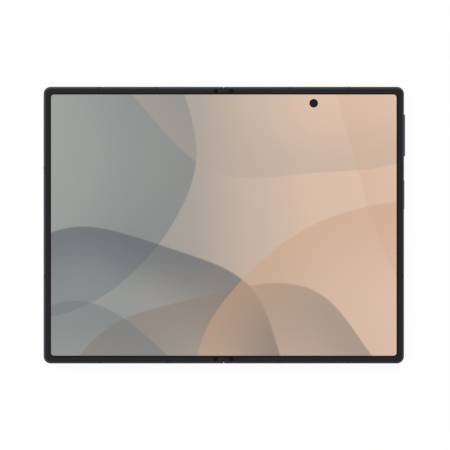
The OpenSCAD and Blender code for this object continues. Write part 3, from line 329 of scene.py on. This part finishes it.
picture_light = screen_light()
for side in ("left", "right"):
    bm = copy_of(side + "_display_panel")
    print_places(bm)
    panel = piece(side + "_screen", bm, picture_light, side + "_half")
    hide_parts(side + "_display_panel")
for side, sign in SIDES:
    bm = half_of("fold_display", sign)
    for vert in bm.verts:
        if abs(vert.co.x) > (STRIP_EDGE - 2 * JOIN) * MM:
            vert.co.x = sign * STRIP_EDGE * MM
    slice_between(bm, STRIP_CUT, BEND_FROM, sign)
    print_places(bm)
    strip = piece(side + "_fold_screen", bm, picture_light)
    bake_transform(strip)
    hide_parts("fold_display")

# Plates behind the display. Thin stainless sheet, rolled bright, glued under the panels. Over the fold it is
# etched to a lattice of staggered slots, so that it bends with the strip. The wing plates support the strip.
ROLLED = (1, 0.05, 1)   # the grain is drawn out along the roll


def dress(material, *names):
    """Gives a material to CAD nodes."""
    for name in names:
        cad[name].data.materials.clear()
        cad[name].data.materials.append(material)


rolled_steel = grained("rolled_stainless", "#b4b5b8", rough=0.3, grain=0.4, depth=0.004, stretch=ROLLED,
                       Metallic=1.0)
dress(rolled_steel, "left_display_plate", "right_display_plate", "left_wing_plate", "right_wing_plate")
for side, sign in SIDES:
    bm = half_of("fold_lattice", sign)
    slice_between(bm, STRIP_CUT, BEND_FROM, sign)
    lattice = piece(side + "_fold_lattice", bm, rolled_steel)
    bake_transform(lattice)
    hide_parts("fold_lattice")

# Flat cables. Two ribbons of copper in polyimide cross under the fold, with slack in the spine.
# Amber film over lengthwise tracks.
FLEX_BEND = (1.5, 3.2)   # mm from the fold line, between which a cable turns
TRACK = 0.5              # mm between the tracks, drawn coarser than the real 0.1 so that they show
WAVE = math.tau / 20     # scale at which a wave texture repeats once in a metre
flex_amber, tree, shader = blank("polyimide_film", "BsdfPrincipled", {"Roughness": 0.35, "Coat Weight": 0.3})
rows = add(tree, "TexWave", {"Vector": add(tree, "TexCoord").outputs["Object"],
                             "Scale": WAVE / (TRACK * MM), "Distortion": 0.0}, bands_direction="Y")
amber = add(tree, "Mix", {"Factor_Float": rows.outputs["Fac"], "A_Color": colour("#6d431c"),
                          "B_Color": colour("#a5682e")}, data_type="RGBA")
tree.links.new(amber.outputs["Result"], shader.inputs["Base Color"])
for side, sign in SIDES:
    bm = half_of("hinge_flexes", sign)
    slice_between(bm, *FLEX_BEND, sign)
    cable = piece(side + "_flexes", bm, flex_amber)
    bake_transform(cable)
    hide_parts("hinge_flexes")

# Keys. Small aluminium bars with round ends stand out of the right rim: one rocks for the volume, one
# presses. They are blasted and anodised like the frame. Their colour is painted a little lighter than the
# frame's, as painted light for the light that their raised round tops catch.
key_metal_painted_light = grained("anodised_keys_painted_light", "#555760", rough=0.42, grain=0.25, depth=0.003, Metallic=1.0)
for key in ("volume_key", "side_key"):
    smoothed(key, key_metal_painted_light)

# Back glass. A sheet of aluminosilicate is glued into the right frame. It is etched to a soft frost over dark
# slate paint, so it shows an even tone with a broad sheen.
frosted = grained("frosted_glass", "#33363c", rough=0.42, grain=0.12, depth=0.002, drift=0.03, patch=30.0,
                  Coat_Weight=0.15, Coat_Roughness=0.3)
smoothed("rear_glass", frosted)

# Cover glass. A polished sheet of the same glass closes the left frame, over the outer display's panel, which
# is switched off. Through it show the panel's blacker border, and the camera in its hole, whose lens has a
# painted blue reflection of its coating.
COVER_MIDDLE = (-44.7, 0)        # mm, middle of the area that lights up
COVER_HALF = (32.4, 58.2)        # mm, half its width and height
COVER_CAMERA = (-40.35, 54.55)   # mm
COVER_HOLE = 1.9                 # mm, radius
COVER_PUPIL = 0.9                # mm, radius


def from_middle(tree, middle):
    """Each point's place in X and Y from a middle in mm, with no height."""
    return add(tree, "Mapping", {"Vector": add(tree, "TexCoord").outputs["Object"],
                                 "Location": (-middle[0] * MM, -middle[1] * MM, 0), "Scale": (1, 1, 0)})


def distance_to(tree, middle):
    """The distance in metres to a middle in mm."""
    return add(tree, "VectorMath", {"Vector": from_middle(tree, middle)}, operation="LENGTH").outputs["Value"]


def lens_tones(tree, distance, pupil, mask, painted_glint, ring):
    """
    Colours of a small lens: a middle as wide as its pupil, in which the coating's blue reflection is
    painted, dark barrel rings, and a black mask. The stops are shares of the mask's radius.
    """
    share = pupil / mask
    stops = [(0.0, "#10122b"), (share * 0.55, painted_glint), (share, "#0a0b14"), (share + 0.02, ring),
             (share + 0.2, "#0b0b0d"), (share + 0.24, "#25262a"), (0.93, "#08080a"), (1.0, "#020203")]
    out = add(tree, "MapRange", {"Value": distance, "From Max": mask * MM})
    return add(tree, "ValToRGB", {"Fac": out}, stops=stops)


polished, tree, shader = blank("polished_glass", "BsdfPrincipled", {"Roughness": 0.05,
                                                                    "Specular IOR Level": 0.5})
size = add(tree, "VectorMath", {"Vector": from_middle(tree, COVER_MIDDLE)}, operation="ABSOLUTE")
past = add(tree, "VectorMath", {"Vector": size, "Vector_001": (COVER_HALF[0] * MM, COVER_HALF[1] * MM, 0)},
           operation="SUBTRACT")
past = add(tree, "SeparateXYZ", {"Vector": past})
past = add(tree, "Math", {"Value": past.outputs["X"], "Value_001": past.outputs["Y"]}, operation="MAXIMUM")
border = add(tree, "Math", {"Value": past, "Value_001": 0.0}, operation="GREATER_THAN")
dark = add(tree, "Mix", {"Factor_Float": border, "A_Color": colour("#12141a"), "B_Color": colour("#040405")},
           data_type="RGBA")
away = distance_to(tree, COVER_CAMERA)
# The cover camera's blue coating shows as a painted reflection in the lens's colour
lens = lens_tones(tree, away, COVER_PUPIL, COVER_HOLE, "#2c3d86", "#3c3e46")
hole = add(tree, "Math", {"Value": away, "Value_001": COVER_HOLE * MM}, operation="LESS_THAN")
tone = add(tree, "Mix", {"Factor_Float": hole, "A_Color": dark, "B_Color": lens}, data_type="RGBA")
tree.links.new(tone.outputs["Result"], shader.inputs["Base Color"])
smoothed("cover_glass", polished)

# Outer display's panel. A laminated sheet lies flat under the cover glass, and is glued to its back.
# Switched off, it is even, smooth and black.
panel_black = grained("panel_black", "#08090b", rough=0.2, grain=0.3, depth=0.001)
dress(panel_black, "cover_panel")

# Rear cameras. A pill-shaped island is milled from aluminium and set through the back glass. Each camera
# has a turned ring with a flat sapphire glass in it. Behind the glass are a stepped black barrel, whose
# baffles keep stray light out, and the domed front element.
LENS_MIDDLES = [(66.5, 26.0), (66.5, 45.5)]   # mm
BARREL_FRONT = 0.66     # mm, height of the barrel's lip
BARREL_BACK = 2.3       # mm, height at which the barrel meets the camera's block
BARREL_R = 5.0          # mm
LIP = (5.45, 0.9)       # mm, the lip's radius, and the height of its back
BAFFLES = 4
STEP_R = 4.6            # mm, radius of the outermost baffle
STEP_IN = 0.5           # mm, by which each baffle is narrower
STEP_DEEP = 0.36        # mm, by which each baffle lies deeper
WELL = 0.4              # mm from the last baffle to the barrel's floor
DOME = (2.6, 0.95)      # mm, radius and height of the front element
DOME_ARC = 12           # faces along the dome's arc
ROUND = 72              # faces round a turned piece


def turned(profile, middles):
    """Closed round solids, one at each place, from a profile of radius and height in mm."""
    bm = bmesh.new()
    verts = [bm.verts.new((r * MM, 0, z * MM)) for r, z in profile]
    edges = [bm.edges.new(pair) for pair in zip(verts, verts[1:])]
    bmesh.ops.spin(bm, geom=verts + edges, cent=(0, 0, 0), axis=(0, 0, 1), angle=math.tau, steps=ROUND,
                   use_merge=True)
    bmesh.ops.remove_doubles(bm, verts=bm.verts, dist=WELD * MM)
    bmesh.ops.recalc_face_normals(bm, faces=bm.faces)
    first = bm.verts[:] + bm.edges[:] + bm.faces[:]
    for middle in middles[1:]:
        extra = bmesh.ops.duplicate(bm, geom=first)["geom"]
        moved = [v for v in extra if isinstance(v, bmesh.types.BMVert)]
        away = Vector(middle) - Vector(middles[0])
        bmesh.ops.translate(bm, verts=moved, vec=(away.x * MM, away.y * MM, 0))
    bmesh.ops.translate(bm, verts=bm.verts, vec=(middles[0][0] * MM, middles[0][1] * MM, 0))
    smooth_by_angle(bm)
    return bm


# Blasted and anodised island: the frames' sheen, a little darker
island_metal = grained("anodised_island", "#34363c", rough=0.34, grain=BLAST_GRAIN, depth=DIMPLE_DEPTH,
                       Metallic=1.0)
# Turned, dark anodised rings: a sharper sheen
ring_metal = grained("turned_rings", "#1f2127", rough=0.22, grain=0.25, depth=0.003, Metallic=1.0)
# Moulded barrel, blackened inside: matt, so that its steps only just show
barrel_black = grained("matt_black_barrel", "#0c0c0f", rough=0.5, grain=0.15, depth=0.004,
                       Specular_IOR_Level=0.25)
# Clear sapphire, whose low IOR stands for the coating: a faint reflection on the glass
sapphire = blank("coated_sapphire", "BsdfPrincipled", {
    "Base Color": colour("#f4f5f7"), "Roughness": 0.0, "IOR": 1.17, "Transmission Weight": 1.0})[0]
# Ground glass with a coating that reflects violet
violet_coat = blank("coated_element", "BsdfPrincipled", {
    "Base Color": colour("#06050c"), "Roughness": 0.04, "IOR": 1.6, "Specular Tint": colour("#7a62f0")})[0]
smoothed("camera_island", island_metal)
smoothed("camera_rings", ring_metal)
smoothed("camera_lenses", sapphire)

bm = copy_of("rear_cameras")
cut_away(bm, (0, 0, BARREL_BACK * MM), (0, 0, -1))
blocks = piece("rear_camera_blocks", bm, barrel_black, "right_half")

floor = BARREL_FRONT + STEP_DEEP * (BAFFLES - 1) + WELL
profile = [(0, floor)]
for i in reversed(range(BAFFLES)):
    radius = STEP_R - STEP_IN * i
    profile += [(radius, profile[-1][1]), (radius, BARREL_FRONT + STEP_DEEP * i)]
profile += [(LIP[0], BARREL_FRONT), LIP, (BARREL_R, LIP[1]), (BARREL_R, BARREL_BACK), (0, BARREL_BACK)]
barrels = piece("rear_camera_barrels", turned(profile, LENS_MIDDLES), barrel_black, "right_half")

# The front element's dome is part of a sphere
curve = (DOME[0] ** 2 + DOME[1] ** 2) / (2 * DOME[1])
reach = math.asin(DOME[0] / curve)
profile = []
for i in range(DOME_ARC + 1):
    angle = reach * i / DOME_ARC
    profile.append((curve * math.sin(angle), floor - DOME[1] + curve - curve * math.cos(angle)))
profile.append((0, floor))
elements = piece("rear_front_elements", turned(profile, LENS_MIDDLES), violet_coat, "right_half")
for made in (blocks, barrels, elements):
    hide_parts("rear_cameras")

# Flash window. A frosted clear cap over the lamp, with a Fresnel lens moulded in its back.
# Pale, with the lamp's yellow phosphor behind its middle. The lens's rings are drawn coarser than the real
# 0.2 mm ones, so that they show.
FLASH_MIDDLE = (51.0, 47.5)   # mm
RING_STEP = 0.7               # mm
RING_SHARE = 0.35             # strength of the rings
PHOSPHOR = (0.9375, 1.25)     # mm, radii between which the phosphor's yellow fades
flash_clear, tree, shader = blank("frosted_flash", "BsdfPrincipled", {"Roughness": 0.25, "Coat Weight": 0.4})
rings = add(tree, "TexWave", {"Vector": from_middle(tree, FLASH_MIDDLE), "Scale": WAVE / (RING_STEP * MM),
                              "Distortion": 0.0}, wave_type="RINGS", rings_direction="Z")
away = distance_to(tree, FLASH_MIDDLE)
glow = add(tree, "MapRange", {"Value": away, "From Min": PHOSPHOR[0] * MM, "From Max": PHOSPHOR[1] * MM,
                              "To Min": 1.0, "To Max": 0.0}, interpolation_type="SMOOTHSTEP")
pale = add(tree, "Mix", {"Factor_Float": glow, "A_Color": colour("#e4e0d2"), "B_Color": colour("#dcc069")},
           data_type="RGBA")
ringed = add(tree, "Mix", {"Factor_Float": rings.outputs["Fac"], "A_Color": pale,
                           "B_Color": colour("#f3f0e6")}, data_type="RGBA")
soft = add(tree, "Mix", {"Factor_Float": RING_SHARE, "A_Color": pale, "B_Color": ringed}, data_type="RGBA")
tree.links.new(soft.outputs["Result"], shader.inputs["Base Color"])
smoothed("flash_window", flash_clear)

# Inner and cover cameras. Each is a small module behind a hole in its screen: a black barrel with a
# coated lens. The coating's faint blue glint is a painted reflection in the lens's colour.
INNER_CAMERA = (40.27, 54.55)   # mm
SMALL_PUPIL = 0.7               # mm, radius
SMALL_MASK = 1.5                # mm, radius
small_lens, tree, shader = blank("small_coated_lens", "BsdfPrincipled", {"Roughness": 0.05, "IOR": 1.6,
                                                                         "Specular IOR Level": 0.07})
away = add(tree, "Math", {"Value": distance_to(tree, INNER_CAMERA),
                          "Value_001": distance_to(tree, COVER_CAMERA)}, operation="MINIMUM")
tones = lens_tones(tree, away, SMALL_PUPIL, SMALL_MASK, "#14182a", "#1c1d20")
tree.links.new(tones.outputs["Color"], shader.inputs["Base Color"])
smoothed("inner_camera", small_lens)
dress(small_lens, "cover_camera")

# Spine cover. The curved back of the hinge is milled from aluminium, and blasted and anodised as the frames
# are. The brackets are screwed to its inside.
smoothed("spine_cover", anodised)

# Hinge works. Sintered steel brackets hold sliding shoes, arms and shafts; the timing gears are cut in brass,
# and the friction comes from spring washers.
# Sintered and tumbled steel: grey, with a fine pitted sheen
sintered = grained("sintered_steel", "#909297", rough=0.36, grain=0.12, depth=0.004, Metallic=1.0)
# Cut brass: yellow, with the cutter's marks along the teeth
cut_brass = grained("cut_brass", "#b08d57", rough=0.3, grain=0.1, depth=0.002, stretch=(1, 0.1, 1),
                    Metallic=1.0)
# Rolled spring steel, and screws plated with nickel: bright and smooth
spring_steel = grained("spring_steel", "#c2c4c8", rough=0.22, grain=0.1, depth=0.001, Metallic=1.0)
bright_screws = grained("bright_screws", "#b9bbbf", rough=0.25, grain=0.1, depth=0.001, Metallic=1.0)
dress(sintered, "hinge_brackets", "left_rotors", "right_rotors", "left_arms", "right_arms")
dress(cut_brass, "left_pinions", "right_pinions", "left_idlers", "right_idlers")
dress(spring_steel, "left_washers", "right_washers")
dress(bright_screws, "left_screws", "right_screws")
dress(anodised, "bracket_screws")   # their ends show in the spine cover, so they are coloured as it is

# Boards. Glass-epoxy boards under green solder mask, with stamped and tinned cans over the chips.
# Traces run across them, a little lighter than the mask.
TRACE = 1.2   # mm between traces, drawn coarser than the real 0.2 so that they show
solder_mask, tree, shader = blank("solder_mask", "BsdfPrincipled", {"Roughness": 0.35})
cells = add(tree, "TexVoronoi", {"Vector": add(tree, "TexCoord").outputs["Object"],
                                 "Scale": 1 / (TRACE * MM)}, distance="MANHATTAN")
lines = add(tree, "MapRange", {"Value": cells.outputs["Distance"], "From Min": 0.45, "From Max": 0.5})
green = add(tree, "Mix", {"Factor_Float": lines, "A_Color": colour("#1c3a2b"), "B_Color": colour("#2c5340")},
            data_type="RGBA")
tree.links.new(green.outputs["Result"], shader.inputs["Base Color"])
tinned = grained("tinned_cans", "#a9abae", rough=0.32, grain=0.3, depth=0.003, Metallic=1.0)
dress(solder_mask, "main_board", "sub_board")
dress(tinned, "board_shields", "card_reader")

# Cells, speakers, haptic motor, magnets and key switches. Each is bought whole, and is glued or clipped into
# its bay in a frame.
# The cells' foil pouch: dark, with a slight metal sheen and fine creases
pouch = grained("laminated_pouch", "#2c2e31", rough=0.4, grain=0.8, depth=0.01, Metallic=0.4)
# Moulded speaker boxes: dark and dull
speaker_box = grained("moulded_box", "#26282b", rough=0.5, grain=0.2, depth=0.004)
# Stamped steel can, and magnets plated with nickel: bright and smooth
stamped_can = grained("stamped_can", "#b5b7ba", rough=0.3, grain=0.2, depth=0.002, Metallic=1.0)
nickel = grained("nickel_plate", "#8f9094", rough=0.25, grain=0.2, depth=0.002, Metallic=1.0)
# The switches' domes lie under a yellow polyimide strip
switch_film = grained("polyimide_strip", "#c9a227", rough=0.35, grain=0.2, depth=0.002)
dress(pouch, "left_battery", "right_battery")
dress(speaker_box, "bottom_speaker", "top_speaker")
dress(stamped_can, "haptic_motor")
dress(nickel, "left_magnets", "right_magnets")
dress(switch_film, "key_switches")

# Charging coil. Flat copper wire is wound in a spiral and glued behind the back glass.
# Lacquered copper: bright rings with dark lines between them.
COIL_MIDDLE = (36.0, -7.0)   # mm
TURN = 0.9                   # mm between the coil's turns
wound_copper, tree, shader = blank("wound_copper", "BsdfPrincipled", {"Metallic": 1.0, "Roughness": 0.3})
turns = add(tree, "TexWave", {"Vector": from_middle(tree, COIL_MIDDLE), "Scale": WAVE / (TURN * MM),
                              "Distortion": 0.0}, wave_type="RINGS", rings_direction="Z")
wire = add(tree, "Mix", {"Factor_Float": turns.outputs["Fac"], "A_Color": colour("#7c4a20"),
                         "B_Color": colour("#c07a3c")}, data_type="RGBA")
tree.links.new(wire.outputs["Result"], shader.inputs["Base Color"])
dress(wound_copper, "charging_coil")

# Charging port. The receptacle is a stamped steel shell round a moulded tongue, with a row of gold-plated
# contacts on each of the tongue's faces.
PORT_MIDDLE = (40.35, 3.63)     # mm, in X and Z
TONGUE = (3.355, 0.36)          # mm, half its width and half its thickness, with a little to spare
TONGUE_FACE = 0.35              # mm from the port's middle
TONGUE_FRONT = -60.75           # mm
TONGUE_LONG = 6.2               # mm
CONTACTS = 12                   # on each face
CONTACT_STEP = 0.5              # mm
CONTACT_FROM = 0.35             # mm from the tongue's front
CONTACT = (0.28, 4.4, 0.04)     # mm: width, length and thickness
CONTACT_BEVEL = 0.012           # mm
# Stamped and plated shell: bright and smooth
port_steel = grained("port_shell", "#8d8f93", rough=0.28, grain=0.2, depth=0.002, Metallic=1.0)
# Moulded tongue: dull black
tongue_black = grained("moulded_tongue", "#15161a", rough=0.45, grain=0.15, depth=0.002)
# Gold plate on the contacts: warm and bright
gold = grained("gold_plate", "#d8ae5a", rough=0.25, grain=0.1, depth=0.001, Metallic=1.0)


def on_tongue(at):
    """Whether a place in mm lies on the tongue."""
    return (abs(at.x - PORT_MIDDLE[0]) < TONGUE[0] and abs(at.z - PORT_MIDDLE[1]) < TONGUE[1]
            and at.y < TONGUE_FRONT + TONGUE_LONG)


port = smoothed("usb_port", port_steel)
repaint(port, tongue_black, on_tongue)
bm = bmesh.new()
for i in range(CONTACTS):
    for face in (-1, 1):
        plate = bmesh.ops.create_cube(bm, size=MM)["verts"]
        bmesh.ops.scale(bm, verts=plate, vec=CONTACT)
        x = PORT_MIDDLE[0] + (i - (CONTACTS - 1) / 2) * CONTACT_STEP
        y = TONGUE_FRONT + CONTACT_FROM + CONTACT[1] / 2
        z = PORT_MIDDLE[1] + face * (TONGUE_FACE + CONTACT[2] / 2)
        bmesh.ops.translate(bm, verts=plate, vec=Vector((x, y, z)) * MM)
bmesh.ops.bevel(bm, geom=bm.edges[:], affect="EDGES", segments=1, profile=0.5, material=-1,
                offset=CONTACT_BEVEL * MM)
contacts = piece("port_contacts", bm, gold, "right_half")

# Card tray. It is machined from aluminium and slides into its reader. Its face closes the left frame's rim,
# and is blasted and anodised with it.
smoothed("card_tray", anodised)

# Table. A plain white surface, on which the phone rests with its lens rings and its left edge, so it lies at
# a small slope under the phone. It shows white, keeps the shadow, and is clear from below and to soft light
# close under the phone, so that the back is lit there.
TABLE = 3.0                        # m
RESTS = ((-79.8, 1.5), (58.9, 0))  # mm, the two places that touch it, in X and Z
TABLE_GAP = 0.02                   # mm under those places
TABLE_GLOW = 0.93                  # share of its own white in what is seen; the rest keeps the shadow
CLEAR_NEAR = 12.0                  # mm, the longest way of soft light that passes through it


def seen_by(tree, path):
    """Whether a ray is seen: straight, in a reflection or through glass."""
    seen = add(tree, "Math", {"Value": path.outputs["Is Camera Ray"],
                              "Value_001": path.outputs["Is Glossy Ray"]}, operation="MAXIMUM")
    return add(tree, "Math", {"Value": seen, "Value_001": path.outputs["Is Transmission Ray"]},
               operation="MAXIMUM")


slope = (RESTS[1][1] - RESTS[0][1]) / (RESTS[1][0] - RESTS[0][0])
bm = bmesh.new()
bmesh.ops.create_grid(bm, x_segments=1, y_segments=1, size=TABLE / 2)
for vert in bm.verts:
    vert.co.z = (RESTS[0][1] - TABLE_GAP) * MM + slope * (vert.co.x - RESTS[0][0] * MM)
white, tree, shader = blank("white_table", "MixShader")
path = add(tree, "LightPath")
share = add(tree, "Math", {"Value": seen_by(tree, path), "Value_001": TABLE_GLOW}, operation="MULTIPLY")
lit = add(tree, "BsdfDiffuse", {"Color": colour("#f4f4f4")})
own = add(tree, "Emission", {"Color": colour("#ffffff"), "Strength": 1.0})
top = add(tree, "MixShader", {"Fac": share, "Shader": lit, "Shader_001": own})
near = add(tree, "Math", {"Value": path.outputs["Ray Length"], "Value_001": CLEAR_NEAR * MM},
           operation="LESS_THAN")
near = add(tree, "Math", {"Value": near, "Value_001": path.outputs["Is Diffuse Ray"]}, operation="MULTIPLY")
clear = add(tree, "Math", {"Value": add(tree, "NewGeometry").outputs["Backfacing"], "Value_001": near},
            operation="MAXIMUM")
for key, node in (("Fac", clear), ("Shader", top), ("Shader_001", add(tree, "BsdfTransparent"))):
    tree.links.new(node.outputs[0], next(s for s in shader.inputs if s.identifier == key))
table = piece("table", bm, white)

# Light. A plain pale room, and two large soft lamps, one on the left and one beyond the top, which brighten
# the left and upper edges of the rim.
ROOM = 0.66    # strength of the room's light
LAMP = 1.8     # m, side of a square lamp
LAMPS = [((-1.25, 0.3, 0.75), 17.5), ((0.1, 1.25, 0.75), 14.5)]   # place in m, and power in W
world = bpy.data.worlds.new("pale_room")
bpy.context.scene.world = world
world.use_nodes = True
tree = world.node_tree
tree.nodes.clear()
level = add(tree, "MapRange", {"Value": seen_by(tree, add(tree, "LightPath")), "To Min": ROOM, "To Max": 1.0})
room = add(tree, "Background", {"Color": colour("#ffffff"), "Strength": level})
add(tree, "OutputWorld", {"Surface": room})
for place, power in LAMPS:
    lamp = bpy.data.objects.new("soft_lamp", bpy.data.lights.new("soft_lamp", "AREA"))
    lamp.data.size = LAMP
    lamp.data.energy = power
    lamp.location = place
    lamp.rotation_euler = (-Vector(place)).to_track_quat("-Z", "Y").to_euler()
    bpy.context.scene.collection.objects.link(lamp)

# Camera. It looks straight down on the screen from far off, through a long lens, as the photo does, so that
# the rim's sides don't show.
LENS = 300.0                 # mm
SENSOR = 36.0                # mm
VIEW_WIDE = 201.4            # mm across the picture at the screen's height
VIEW_MIDDLE = (0.555, 0.05)  # mm
SCREEN_Z = 6.1               # mm, the screen's height
CLIP = 0.01                  # m, nearer than which nothing is seen
eye = bpy.data.objects.new("camera", bpy.data.cameras.new("camera"))
eye.data.lens = LENS
eye.data.sensor_width = SENSOR
eye.location = Vector((*VIEW_MIDDLE, SCREEN_Z + VIEW_WIDE * LENS / SENSOR)) * MM
eye.data.clip_start = CLIP
bpy.context.scene.collection.objects.link(eye)
bpy.context.scene.camera = eye
bpy.context.scene.view_settings.view_transform = "Standard"
